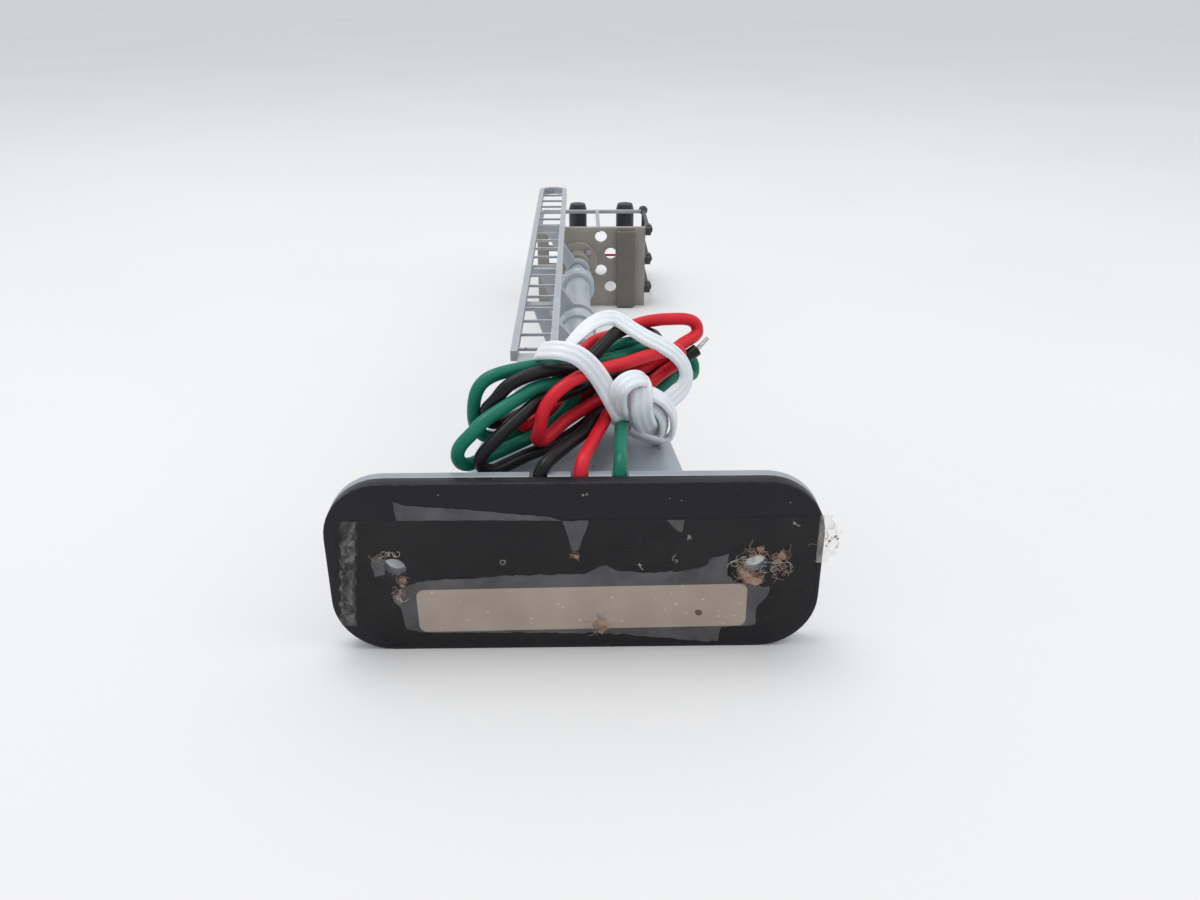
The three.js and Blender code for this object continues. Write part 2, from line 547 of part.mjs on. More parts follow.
// Stripped ends of the three wires, at the right-hand end of the hank: twisted strands.
const TIP_LONG = 2.2;
const TIP_RADIUS = 0.3;
const TIPS = { black: [16.9, -1.5, 18.9], red: [16.7, 0.6, 21], green: [16.6, -0.5, 15.9] };
for (const [colour, [along, depth, z]] of Object.entries(TIPS)) {
  const strands = turned([[0, 0], [TIP_RADIUS, 0], [TIP_RADIUS, TIP_LONG], [0, TIP_LONG]], 8);
  const laid = strands.rotate([0, 0, -90]).translate([0, depth, 0]);
  alongHank(`wire_end_${colour}`, laid, tinnedCopper, along, z, -0.55);
}

export default signal;
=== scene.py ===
import math
import random

import bmesh
import bpy
import numpy as np
from mathutils import Matrix, Vector, noise


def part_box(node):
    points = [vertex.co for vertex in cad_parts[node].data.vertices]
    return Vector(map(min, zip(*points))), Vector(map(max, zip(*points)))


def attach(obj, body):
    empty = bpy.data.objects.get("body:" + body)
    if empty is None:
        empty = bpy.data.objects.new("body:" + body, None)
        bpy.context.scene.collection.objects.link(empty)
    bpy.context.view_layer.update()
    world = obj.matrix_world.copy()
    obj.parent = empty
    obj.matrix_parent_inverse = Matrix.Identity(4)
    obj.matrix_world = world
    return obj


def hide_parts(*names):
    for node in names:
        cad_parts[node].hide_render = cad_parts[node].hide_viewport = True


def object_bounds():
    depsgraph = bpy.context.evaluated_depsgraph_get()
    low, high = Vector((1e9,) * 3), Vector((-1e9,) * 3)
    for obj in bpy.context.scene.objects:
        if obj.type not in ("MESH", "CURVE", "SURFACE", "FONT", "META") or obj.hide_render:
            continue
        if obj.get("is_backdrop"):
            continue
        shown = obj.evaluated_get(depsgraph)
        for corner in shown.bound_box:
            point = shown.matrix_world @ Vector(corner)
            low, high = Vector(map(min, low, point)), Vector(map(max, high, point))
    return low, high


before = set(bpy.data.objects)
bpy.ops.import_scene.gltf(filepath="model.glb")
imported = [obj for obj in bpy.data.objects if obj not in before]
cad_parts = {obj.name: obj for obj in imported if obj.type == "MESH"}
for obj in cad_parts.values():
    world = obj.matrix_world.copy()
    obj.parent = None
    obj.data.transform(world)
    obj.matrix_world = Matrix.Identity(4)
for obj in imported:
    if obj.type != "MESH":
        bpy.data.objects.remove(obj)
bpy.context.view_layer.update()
mm = 0.001
dice = random.Random(7)

# ---------------------------------------------------------------------------------------------
# Camera. It stands behind the foot of the signal and a little above it, looking along the mast.
# ---------------------------------------------------------------------------------------------
camera = bpy.data.objects.new("camera", bpy.data.cameras.new("camera"))
bpy.context.scene.collection.objects.link(camera)
bpy.context.scene.camera = camera
camera.location = Vector((1.116, -103.4, 65.5)) * mm
camera.rotation_euler = (math.radians(90 - 25.6), 0, math.radians(-1.03))
camera.data.sensor_width = 36
camera.data.lens = 30
camera.data.clip_start = 0.005

# ---------------------------------------------------------------------------------------------
# Wires. Three lengths of PVC insulated hook-up wire, black, red and green, leave the notches in
# the base, lie over the pedestal and are wound lengthwise into one flat hank.
# ---------------------------------------------------------------------------------------------
wire_radius = 0.85 * mm
hank_place = Matrix.Translation((3 * mm, 20 * mm, 0)) @ Matrix.Rotation(0.555, 4, "Z")
pedestal_top = 8.8 * mm


def on_hank(along, depth, height):
    """A place by its distances along the hank, behind its middle and above the base's axis."""
    return hank_place @ (Vector((along, depth, height)) * mm)


def flowing(points, steps):
    """A smooth curve through all the points."""
    ends = [points[0], *points, points[-1]]
    made = []
    for a, b, c, d in zip(ends, ends[1:], ends[2:], ends[3:]):
        for i in range(steps):
            t = i / steps
            bend = (2 * a - 5 * b + 4 * c - d) * t * t + (3 * b - a - 3 * c + d) * t**3
            made.append((2 * b + (c - a) * t + bend) / 2)
    return [*made, points[-1]]


def wound(turns, steps=14):
    """The wound part of a wire. Each turn is given by where it passes: along, depth and height,
    the direction it heads in, in degrees above the hank's length, and how far it holds that."""
    places = [on_hank(*turn[:3]) for turn in turns]
    pulls = []
    for i, (_, _, _, heading, pull) in enumerate(turns):
        before, after = turns[max(i - 1, 0)], turns[min(i + 1, len(turns) - 1)]
        angle = math.radians(heading)
        way = Vector((math.cos(angle) * pull, (after[1] - before[1]) / 2, math.sin(angle) * pull))
        pulls.append(hank_place.to_3x3() @ (way * mm))
    made = []
    for a, b, leave, arrive in zip(places, places[1:], pulls, pulls[1:]):
        for i in range(steps):
            t = i / steps
            start = a * (2 * t**3 - 3 * t**2 + 1) + leave * (t**3 - 2 * t**2 + t)
            made.append(start + b * (3 * t**2 - 2 * t**3) + arrive * (t**3 - t**2))
    return [*made, places[-1]]


routes = {
    "black": [
        (-4.3, 9, -0.4), (-4.3, 5, 1.4), (-4.3, 2.7, 5), (-4.3, 2.55, 8.5), (-4.2, 2.6, 11),
        (-3.6, 3.2, 12.4), (-2.5, 4.9, 12.9), (-1.1, 7.1, 13.1), (0.1, 9, 13.2), (0.9, 10.4, 13.2),
    ],
    "red": [
        (0.6, 9, -0.4), (0.6, 5, 1.4), (0.6, 2.7, 5), (0.6, 2.55, 8.5), (0.7, 2.6, 11.3),
        (1, 3.8, 12.7), (1.5, 5.8, 12.9), (2.2, 8.4, 13), (2.9, 10.9, 13.2), (3.6, 13.2, 13.4),
    ],
    "green": [
        (5.4, 9, -0.4), (5.4, 5, 1.4), (5.4, 2.7, 5), (5.4, 2.55, 8.5), (5.4, 2.6, 11.3),
        (5.5, 3.8, 12.7), (5.6, 6, 13), (5.7, 8.6, 13), (5.8, 11, 13), (5.9, 13.2, 12.9),
    ],
}
turns = {
    "black": [
        (-4.9, -5.6, 13.3, 16, 2), (-2.4, -3.9, 13.7, 18, 4), (3, -2, 14.4, 16, 6),
        (9.5, 0.6, 15, 25, 9), (11.6, 1.8, 18, 105, 6),
        (8.4, 1.2, 21.4, 160, 6), (3, 0, 22.8, 195, 6), (-3.5, -1.6, 19.9, 200, 7), (-9, -2, 20.3, 180, 8),
        (-15.4, -1.8, 18.4, 232, 7), (-16.6, -0.2, 15, -75, 6), (-10, 1.8, 12.8, 2, 9),
        (1, 2.4, 16, 22, 12), (9, 1.8, 18.4, 80, 5), (5, 1.4, 19.2, 200, 8), (-4, -1.2, 17.4, 185, 10),
        (-12, -3.6, 17.5, 204, 7), (-17.6, -4.9, 14.6, 218, 4.5), (-19.9, -4.9, 12, 268, 3),
        (-18.3, -4.8, 10.4, -12, 3),
        (-12, -3.8, 10.8, 0, 8), (-3, -2.2, 11.9, 20, 9), (5, -1, 15.6, 24, 8), (11.4, -1.6, 17.3, 22, 5),
        (14.9, -1.9, 18.7, 32, 3),
    ],
    "red": [
        (-1.9, -5, 13.7, 33, 6), (6.5, -3, 15.8, 28, 9), (11, -2.3, 18, 55, 3), (10.2, -2.8, 19.3, 165, 3),
        (3, -4.2, 20, 182, 8), (-6, -5, 19.9, 190, 9), (-11.7, -5.4, 15.6, 262, 7),
        (-11.3, -4.2, 12.1, -35, 4), (-7, -3, 13.2, 18, 6), (3, -1.2, 16, 30, 10),
        (12, -0.8, 19.4, 18, 8), (16.3, 0, 20.9, 95, 4), (12, 1, 22.1, 180, 6), (5, 2.2, 21.1, 192, 6),
        (-0.5, 1.8, 20.4, 212, 6), (-5.5, 0.4, 16.4, 212, 6), (-10.6, 0.2, 13.8, 208, 4),
        (-10.9, 0.6, 12.4, -50, 3), (-6, 1.8, 13, 12, 7), (3, 2.6, 15.4, 25, 10), (9.5, 2.4, 17.2, 15, 6),
    ],
    "green": [
        (0, -6.2, 12.8, 75, 3), (3.5, -3.8, 13.8, 25, 6), (10, -2, 15.2, 20, 9), (15.8, -0.2, 14.8, 75, 4),
        (13.5, 0.4, 17.3, 165, 6), (6, -1, 19.8, 188, 8), (-1, -1.4, 19.6, 178, 10),
        (-11, 0, 20.6, 180, 12),
        (-17.6, 0.6, 17, 265, 11), (-13.5, 1, 12.2, 0, 9), (0, 1.4, 13.8, 20, 14),
        (11.6, 1.4, 16.4, 60, 8), (9, 0.6, 18, 190, 9), (-1, -1.2, 17.7, 182, 12),
        (-12, -2.6, 18.1, 194, 8), (-19.5, -3.6, 15.8, 218, 5), (-22.2, -3.3, 12.9, -92, 4),
        (-19.6, -2.4, 10.8, 4, 4.5), (-10, -0.8, 11.6, 8, 10), (-2, 1, 15.2, 45, 9), (4, 1.2, 19.8, 24, 6),
        (8.4, 1.2, 20.2, -10, 4),
    ],
}
fixed, lines = {}, {}
for colour, route in routes.items():
    loose = flowing([Vector(point) * mm for point in route], 8)
    fixed[colour] = len(loose)
    lines[colour] = np.array([*loose, *wound(turns[colour])])


def pressed_apart(lines, rounds):
    """Moves wound wires that lie in each other apart, a little at a time, as they do under a tie."""
    neighbours, room, ease, smoothings = 9, 2 * wire_radius * 1.01, 0.6, 8
    colours = list(lines)
    points = np.concatenate([lines[c] for c in colours])
    start = points.copy()
    owner = np.concatenate([np.full(len(lines[c]), i) for i, c in enumerate(colours)])
    order = np.concatenate([np.arange(len(lines[c])) for c in colours])
    held = np.concatenate([np.arange(len(lines[c])) < fixed[c] for c in colours])
    near_self = (owner[:, None] == owner) & (abs(order[:, None] - order) < neighbours)
    for _ in range(rounds):
        way = points[:, None] - points
        gap = np.linalg.norm(way, axis=2)
        push = np.where(near_self | (gap > room), 0, room - gap)
        step = (way / np.maximum(gap, 1e-9)[:, :, None] * push[:, :, None]).sum(1)
        count = np.maximum((push > 0).sum(1), 1)
        shift = points - start + step / count[:, None] * ease
        shift[held] = 0
        for _ in range(smoothings):
            inner = (shift[:-2] + shift[1:-1] * 2 + shift[2:]) / 4
            same = (owner[:-2] == owner[2:])[:, None]
            shift[1:-1] = np.where(same, inner, shift[1:-1])
            shift[held] = 0
        points = start + shift
        points[:, 2] = np.maximum(points[:, 2], np.where(held, -1, pedestal_top + wire_radius))
    return {c: points[owner == i] for i, c in enumerate(colours)}


lines = pressed_apart(lines, 60)


def node(tree, kind, values=None, **settings):
    """A shader node with its settings, and its sockets set or joined by name or number."""
    made = tree.nodes.new("ShaderNode" + kind)
    for key, value in settings.items():
        setattr(made, key, value)
    for key, value in (values or {}).items():
        if isinstance(value, bpy.types.NodeSocket):
            tree.links.new(value, made.inputs[key])
        else:
            made.inputs[key].default_value = value
    return made


def group(name, inputs, outputs):
    """An empty shader group with named inputs and their usual values, and named outputs."""
    tree = bpy.data.node_groups.new(name, "ShaderNodeTree")
    for label, usual in inputs.items():
        socket = tree.interface.new_socket(label, in_out="INPUT", socket_type="NodeSocketFloat")
        socket.default_value = usual
    for label, kind in outputs.items():
        tree.interface.new_socket(label, in_out="OUTPUT", socket_type="NodeSocket" + kind)
    return tree, tree.nodes.new("NodeGroupInput").outputs, tree.nodes.new("NodeGroupOutput")


def placed(tree, inner, **values):
    """A copy of a group in a material, with its own values."""
    made = tree.nodes.new("ShaderNodeGroup")
    made.node_tree = inner
    for key, value in values.items():
        made.inputs[key.capitalize()].default_value = value
    return made.outputs


def shade(name, **sockets):
    """A Principled material with its constant values, its node tree and its shader."""
    made = bpy.data.materials.new(name)
    made.use_nodes = True
    shader = made.node_tree.nodes["Principled BSDF"]
    names = {socket.name.replace(" ", "_").lower(): socket for socket in shader.inputs}
    for key, value in sockets.items():
        names[key].default_value = value
    return made, made.node_tree, shader


def mixed(tree, mask, a, b):
    """One colour or the other by a mask."""
    values = {0: mask, 6: a, 7: b}
    return node(tree, "Mix", values, data_type="RGBA").outputs[2]


def ranged(tree, value, old, new, socket):
    """Joins a value to a socket, stretched from its old range to a new one."""
    values = {"Value": value, "From Min": old[0], "From Max": old[1], "To Min": new[0], "To Max": new[1]}
    tree.links.new(node(tree, "MapRange", values).outputs[0], socket)


# Soft uneven tone and a fine orange-peel height, as moulded or sprayed surfaces have.
grain_group, given, out = group(
    "uneven_skin", {"Scale": 300, "Fine": 2500}, {"Tone": "Float", "Height": "Float"}
)
where = node(grain_group, "TexCoord").outputs["Object"]
broad = node(grain_group, "TexNoise", {"Vector": where, "Scale": given["Scale"], "Detail": 4})
fine = node(grain_group, "TexNoise", {"Vector": where, "Scale": given["Fine"], "Detail": 2})
grain_group.links.new(broad.outputs[0], out.inputs["Tone"])
both = node(grain_group, "Math", {0: fine.outputs[0], 1: broad.outputs[0]}, operation="ADD")
grain_group.links.new(both.outputs[0], out.inputs["Height"])

# Sparse specks of dust or chips: small round spots on some of the cells of a scatter.
speck_group, given, out = group(
    "specks", {"Scale": 400, "Size": 0.2, "Share": 0.2}, {"Mask": "Float"}
)
where = node(speck_group, "TexCoord").outputs["Object"]
wobble = node(speck_group, "TexNoise", {"Vector": where, "Scale": 1500.0})
shift = node(speck_group, "VectorMath", {0: wobble.outputs[1], 3: 0.0006}, operation="SCALE")
moved = node(speck_group, "VectorMath", {0: where, 1: shift.outputs[0]}, operation="ADD")
cells = node(speck_group, "TexVoronoi", {"Vector": moved.outputs[0], "Scale": given["Scale"]})
spot = node(
    speck_group, "Math", {0: cells.outputs["Distance"], 1: given["Size"]}, operation="LESS_THAN"
)
which = node(speck_group, "SeparateColor", {0: cells.outputs["Color"]})
some = node(speck_group, "Math", {0: which.outputs[0], 1: given["Share"]}, operation="LESS_THAN")
kept = node(speck_group, "Math", {0: spot.outputs[0], 1: some.outputs[0]}, operation="MULTIPLY")
speck_group.links.new(kept.outputs[0], out.inputs["Mask"])

# Worn edges: where a rounded normal leaves the true one, broken up by noise.
wear_group, given, out = group(
    "edge_wear", {"Width": 0.0003, "Amount": 0.5, "Breakup": 900}, {"Mask": "Float"}
)
softened = node(wear_group, "Bevel", {"Radius": given["Width"]}, samples=6)
true = node(wear_group, "NewGeometry")
match = node(wear_group, "VectorMath", {0: softened.outputs[0], 1: true.outputs["Normal"]})
match.operation = "DOT_PRODUCT"
edge = node(wear_group, "Math", {0: 1.0, 1: match.outputs["Value"]}, operation="SUBTRACT")
where = node(wear_group, "TexCoord").outputs["Object"]
rough = node(
    wear_group, "TexNoise", {"Vector": where, "Scale": given["Breakup"], "Detail": 5.0}
)
limit = node(wear_group, "Math", {0: 1.0, 1: given["Amount"]}, operation="SUBTRACT")
ready = node(wear_group, "Math", {0: edge.outputs[0], 1: 6.0}, operation="MULTIPLY", use_clamp=True)
broken = node(wear_group, "Math", {0: ready.outputs[0], 1: rough.outputs[0]}, operation="MULTIPLY")
over = node(wear_group, "Math", {0: broken.outputs[0], 1: limit.outputs[0]}, operation="SUBTRACT")
sharp = node(wear_group, "Math", {0: over.outputs[0], 1: 12.0}, operation="MULTIPLY", use_clamp=True)
wear_group.links.new(sharp.outputs[0], out.inputs["Mask"])


def bumped(tree, shader, height, distance, strength=1.0):
    """Fine relief from a height."""
    relief = node(tree, "Bump", {"Height": height, "Distance": distance, "Strength": strength})
    tree.links.new(relief.outputs[0], shader.inputs["Normal"])


def insulation(colour, deep, light):
    """Extruded PVC: satin, slightly uneven, with faint dust."""
    made, tree, shader = shade(
        f"{colour}_insulation", roughness=0.36, specular_ior_level=0.25,
        subsurface_weight=0.05, subsurface_scale=0.0005,
    )
    skin = placed(tree, grain_group, scale=350, fine=3000)
    dust = placed(tree, speck_group, scale=1100, size=0.07, share=0.05)
    base = mixed(tree, skin["Tone"], deep, light)
    dusty = mixed(tree, dust["Mask"], base, (0.5, 0.47, 0.44, 1))
    tree.links.new(dusty, shader.inputs["Base Color"])
    ranged(tree, skin["Tone"], (0.3, 0.7), (0.3, 0.46), shader.inputs["Roughness"])
    bumped(tree, shader, skin["Height"], 0.00002)
    return made


wire_materials = {
    "black": insulation("black", (0.004, 0.004, 0.005, 1), (0.009, 0.0085, 0.01, 1)),
    "red": insulation("red", (0.50, 0.008, 0.018, 1), (0.68, 0.016, 0.032, 1)),
    "green": insulation("green", (0.003, 0.12, 0.075, 1), (0.006, 0.19, 0.12, 1)),
}
wires = {}
for colour, line in lines.items():
    curve = bpy.data.curves.new(f"{colour}_wire", "CURVE")
    curve.dimensions = "3D"
    curve.bevel_depth = wire_radius
    curve.bevel_resolution = 5
    curve.use_fill_caps = True
    spline = curve.splines.new("POLY")
    spline.points.add(len(line) - 1)
    for point, place in zip(spline.points, line):
        point.co = (*place, 1)
    spline.use_smooth = True
    curve.materials.append(wire_materials[colour])
    wire = bpy.data.objects.new(f"{colour}_wire", curve)
    bpy.context.scene.collection.objects.link(wire)
    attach(wire, "root")
    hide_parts(f"wire_{colour}", "wire_hank")
    wires[colour] = wire

# ---------------------------------------------------------------------------------------------
# Stripped ends. The last few millimetres of each wire are bared, and its tinned strands twisted.
# ---------------------------------------------------------------------------------------------


def finished(name, shape, material, slot, *nodes, angle=35):
    """Makes an object of a bmesh, smooth but for its sharp edges, that stands for CAD nodes."""
    mesh = bpy.data.meshes.new(name)
    bmesh.ops.recalc_face_normals(shape, faces=shape.faces)
    shape.to_mesh(mesh)
    shape.free()
    mesh.shade_smooth()
    mesh.set_sharp_from_angle(angle=math.radians(angle))
    mesh.materials.append(material)
    made = bpy.data.objects.new(name, mesh)
    bpy.context.scene.collection.objects.link(made)
    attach(made, "root")
    if nodes:
        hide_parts(*nodes)
    return made


def carried(shape, outline, frames):
    """Carries a closed outline through a row of placings, leaving a closed bar."""
    face = shape.faces.new([shape.verts.new(frames[0] @ Vector((x, y, 0))) for x, y in outline])
    for before, after in zip(frames, frames[1:]):
        made = bmesh.ops.extrude_face_region(shape, geom=[face])["geom"]
        corners = [v for v in made if isinstance(v, bmesh.types.BMVert)]
        face = next(f for f in made if isinstance(f, bmesh.types.BMFace))
        bmesh.ops.transform(shape, matrix=after @ before.inverted(), verts=corners)


def facing(place, ahead, up):
    """A placing whose Z runs ahead and whose Y is as near as it can be to up."""
    ahead = ahead.normalized()
    side = up.cross(ahead).normalized()
    turn = Matrix((side, ahead.cross(side), ahead)).transposed()
    return Matrix.Translation(place) @ turn.to_4x4()


tinned, tree, shader = shade("tinned_strands", metallic=1.0, roughness=0.32)
skin = placed(tree, grain_group, scale=900, fine=5000)
tone = mixed(tree, skin["Tone"], (0.36, 0.34, 0.32, 1), (0.74, 0.72, 0.7, 1))
tree.links.new(tone, shader.inputs["Base Color"])
bumped(tree, shader, skin["Height"], 0.00002)

strand_radius, bundle_radius, bared = 0.13 * mm, 0.2 * mm, 2.5 * mm
strands, stations, twist = 7, 15, 3.2
bent_up = Vector((0.1, -0.1, 0.45))
for colour, line in lines.items():
    tail, ahead = Vector(line[-1]), Vector(line[-1] - line[-4]).normalized()
    if colour == "black":
        ahead = (ahead + bent_up).normalized()
    base = facing(tail - ahead * 0.3 * mm, ahead, Vector((0, 0, 1)))
    shape = bmesh.new()
    for i in range(strands):
        frames = []
        for k in range(stations):
            share = k / (stations - 1)
            angle = math.radians(60 * i) + twist * share
            out = 0 if i == strands - 1 else bundle_radius * (1 - 0.25 * share)
            spot = Vector((out * math.cos(angle), out * math.sin(angle), share * bared))
            frames.append(base @ Matrix.Translation(spot))
        ring = [math.radians(45 * k) for k in range(8)]
        outline = [(strand_radius * math.cos(a), strand_radius * math.sin(a)) for a in ring]
        carried(shape, outline, frames)
    finished(
        f"{colour}_bared_end", shape, tinned, "tinned_copper", f"wire_end_{colour}"
    )

# ---------------------------------------------------------------------------------------------
# Tie. A soft white ribbed plastic ribbon, passed round the middle of the hank, drawn tight in a
# double knot in front and left with a loose arch over the top.
# ---------------------------------------------------------------------------------------------
ribbon_half, ribbon_thick, rib = 1.3 * mm, 0.38 * mm, 0.042 * mm
across, ribs = 16, 3
ribbon_outline = []
for side in (1, -1):
    for k in range(across):
        part = 1 - 2 * k / across
        edge = math.sqrt(1 - part**4)
        thick = ribbon_thick + rib * math.cos(ribs * math.pi * part)
        ribbon_outline.append((side * ribbon_half * part, side * thick * edge))


def ribbon(shape, points, core=None, face=None, wide=1.0, steps=6):
    """A length of ribbon through the points. Its flat side faces away from core, or turns from
    the first way of face to the second over the first half."""
    line = flowing([on_hank(*point) for point in points], steps)
    frames = []
    for i, place in enumerate(line):
        ahead = line[min(i + 1, len(line) - 1)] - line[max(i - 1, 0)]
        if face:
            share = min(2 * i / len(line), 1)
            turned_to = Vector(face[0]).lerp(Vector(face[1]), share * share * (3 - 2 * share))
            up = hank_place.to_3x3() @ turned_to
        else:
            up = place - on_hank(*core)
        frames.append(facing(place, ahead, up) @ Matrix.Diagonal((wide, 1, 1, 1)))
    carried(shape, ribbon_outline, frames)


tie = bmesh.new()
band = [
    (1, -6, 12.6), (-0.8, -6.9, 14.2), (-2, -6.9, 16.4), (-2.9, -6.4, 18.4), (-3.8, -6, 20.1),
    (-4.9, -5.5, 21.7), (-6.2, -4.8, 22.9), (-7.7, -3.6, 23.4), (-8.6, -1.6, 23), (-8, 1.2, 21.6),
    (-5, 3.4, 18.8), (-1, 3.8, 14.8), (2, 2.6, 11.6), (3.4, -0.6, 10.4), (3.2, -4, 10.8),
    (2.2, -5.6, 11.8),
]
ribbon(tie, band, core=(-2, -1, 17))
first_wrap = [
    (-0.6, -6.4, 13.9), (-1.5, -7.3, 15.2), (-2, -7.7, 16.9), (-1.9, -7.9, 18.3), (-0.9, -8, 19.2),
    (0.6, -7.9, 19.4), (2.1, -7.5, 18.8), (3.2, -6.9, 17.6),
]
ribbon(tie, first_wrap, core=(1.4, -5.2, 15.6))
second_wrap = [
    (2, -6.4, 18.6), (1.5, -7.9, 18.1), (1.1, -8.7, 17), (0.9, -9, 15.6), (1.2, -8.9, 14.2),
    (2.1, -8.3, 12.7), (3.4, -7.2, 11.4),
]
ribbon(tie, second_wrap, core=(2.6, -5, 15), wide=1.1)
end_loop = [
    (2.4, -7.2, 17), (3.7, -8, 16.4), (5, -8.4, 15.3), (6.1, -8.5, 13.6), (6.6, -8.3, 11.7),
    (6.4, -8, 10.1), (5.3, -7.7, 9.4), (3.6, -7.3, 10), (2, -6.7, 10.8), (1, -6, 11.4),
]
ribbon(tie, end_loop, core=(3.6, -5.6, 12.8), wide=0.9)
filling = [(0.6, -6, 17.6), (2, -6.8, 15.4), (3.4, -7, 13.2), (4.6, -6.9, 11.2), (4.8, -6.4, 10)]
ribbon(tie, filling, face=((0, -1, 0.2), (0, -1, 0.2)), wide=1.3)
inner_fold = [
    (3.2, -7.4, 15.6), (3.9, -8, 14.6), (4.8, -8.2, 13.2), (5.2, -8, 11.5), (5.2, -7.5, 10),
]
ribbon(tie, inner_fold, core=(3.4, -5.6, 12.6), wide=0.85)
arch = [
    (-6.4, -1.4, 21.8), (-5.4, -1.2, 22.5), (-3.9, -0.6, 23.2), (-1.2, 0.4, 24.2), (0.9, 0.6, 24.7),
    (2.6, 0.2, 24.7), (3.6, -0.6, 24.1), (4.6, -1.8, 23.2), (5.8, -3, 22.3), (7.4, -4, 21.3),
    (8.9, -4.8, 20.1), (10, -5.4, 18.6), (10.2, -5.9, 17), (9.3, -6.4, 15.7), (7.4, -6.8, 14.8),
    (5.6, -6.9, 14.4),
]
ribbon(tie, arch, face=((-0.35, 0.3, 0.85), (0.15, -1, 0.55)), wide=0.9, steps=7)
ribbon_plastic, tree, shader = shade(
    "white_ribbon", roughness=0.34, subsurface_weight=0.25, subsurface_scale=0.0012,
    coat_weight=0.1, coat_roughness=0.25,
)
skin = placed(tree, grain_group, scale=420, fine=2200)
tone = mixed(tree, skin["Tone"], (0.74, 0.70, 0.74, 1), (0.88, 0.86, 0.89, 1))
tree.links.new(tone, shader.inputs["Base Color"])
bumped(tree, shader, skin["Height"], 0.00006)
tie = finished("hank_tie", tie, ribbon_plastic, "white_plastic", "wire_tie", angle=60)

for colour, wire in wires.items():
    line = lines[colour]
    long = float(np.linalg.norm(np.diff(line, axis=0), axis=1).sum())

# ---------------------------------------------------------------------------------------------
# Base cover. A black moulded plate glued over the open foot of the casting, with two plain holes
# for fixing screws. Its face is scuffed and dusty from storage.
# ---------------------------------------------------------------------------------------------


def refined(name, node_name, material, slot, width, shown_angle=35):
    """A CAD node's own shape with its flat faces made whole and its sharp edges rounded."""
    shape = bmesh.new()
    shape.from_mesh(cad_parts[node_name].data)
    bmesh.ops.remove_doubles(shape, verts=shape.verts, dist=1e-6)
    flat = math.radians(0.5)
    bmesh.ops.dissolve_limit(shape, angle_limit=flat, verts=shape.verts, edges=shape.edges)
    if width:
        limit = math.radians(35)
        sharp = [e for e in shape.edges if e.is_manifold and e.calc_face_angle() > limit]
        bmesh.ops.bevel(
            shape, geom=sharp, offset=width, offset_type="OFFSET", segments=3, profile=0.5,
            affect="EDGES", clamp_overlap=True, material=-1,
        )
    return finished(name, shape, material, slot, node_name, angle=shown_angle)


black_cover, tree, shader = shade("scuffed_black_cover", specular_ior_level=0.22)
skin = placed(tree, grain_group, scale=140, fine=1500)
base = mixed(tree, skin["Tone"], (0.009, 0.0085, 0.011, 1), (0.017, 0.016, 0.020, 1))
dust = placed(tree, speck_group, scale=420, size=0.045, share=0.18)
lint = placed(tree, speck_group, scale=1400, size=0.09, share=0.09)
worn = placed(tree, wear_group, width=0.0004, amount=0.62, breakup=1400)
pale = node(tree, "Math", {0: dust["Mask"], 1: lint["Mask"]}, operation="MAXIMUM").outputs[0]
base = mixed(tree, worn["Mask"], base, (0.11, 0.105, 0.11, 1))
base = mixed(tree, pale, base, (0.33, 0.32, 0.31, 1))
tree.links.new(base, shader.inputs["Base Color"])
ranged(tree, skin["Tone"], (0.3, 0.7), (0.36, 0.52), shader.inputs["Roughness"])
bumped(tree, shader, skin["Height"], 0.00001)
refined("scuffed_cover", "base_cover", black_cover, "black_plastic", 0.14 * mm)

# ---------------------------------------------------------------------------------------------
# Old film. Clear tape was stuck over the underside and torn off: what is left is a thin glossy
# film with a straight upper edge, dull grey remains of its glue, and a wrinkled end at the left.
# ---------------------------------------------------------------------------------------------
film_thick, tear_step = 0.03, 0.7


def film(shape, corners, lift, jag):
    """A flake of film on the underside, its outline torn by up to jag, in millimetres."""
    outline = []
    for (x0, z0), (x1, z1) in zip(corners, [*corners[1:], corners[0]]):
        count = max(1, round(math.hypot(x1 - x0, z1 - z0) / tear_step))
        for k in range(count):
            tear = jag if k else 0
            x = x0 + (x1 - x0) * k / count + dice.uniform(-tear, tear)
            z = z0 + (z1 - z0) * k / count + dice.uniform(-tear, tear)
            outline.append(shape.verts.new(Vector((x, -lift, z)) * mm))
    face = shape.faces.new(outline)
    made = bmesh.ops.extrude_face_region(shape, geom=[face])["geom"]
    front = [v for v in made if isinstance(v, bmesh.types.BMVert)]
    bmesh.ops.translate(shape, verts=front, vec=(0, -film_thick * mm, 0))


clear_film, tree, shader = shade(
    "old_clear_film", roughness=0.16, specular_ior_level=0.35, base_color=(0.02, 0.02, 0.022, 1)
)
skin = placed(tree, grain_group, scale=120, fine=500)
ranged(tree, skin["Tone"], (0.35, 0.7), (0.2, 0.5), shader.inputs["Alpha"])
bumped(tree, shader, skin["Height"], 0.00001)

dull_film, tree, shader = shade("dull_glue_remains", roughness=0.4)
skin = placed(tree, grain_group, scale=160, fine=2600)
tone = mixed(tree, skin["Tone"], (0.055, 0.054, 0.058, 1), (0.115, 0.113, 0.118, 1))
motes = placed(tree, speck_group, scale=1600, size=0.1, share=0.1)
tone = mixed(tree, motes["Mask"], tone, (0.3, 0.29, 0.28, 1))
tree.links.new(tone, shader.inputs["Base Color"])
ranged(tree, skin["Tone"], (0.25, 0.6), (0.45, 0.95), shader.inputs["Alpha"])
bumped(tree, shader, skin["Height"], 0.00003)

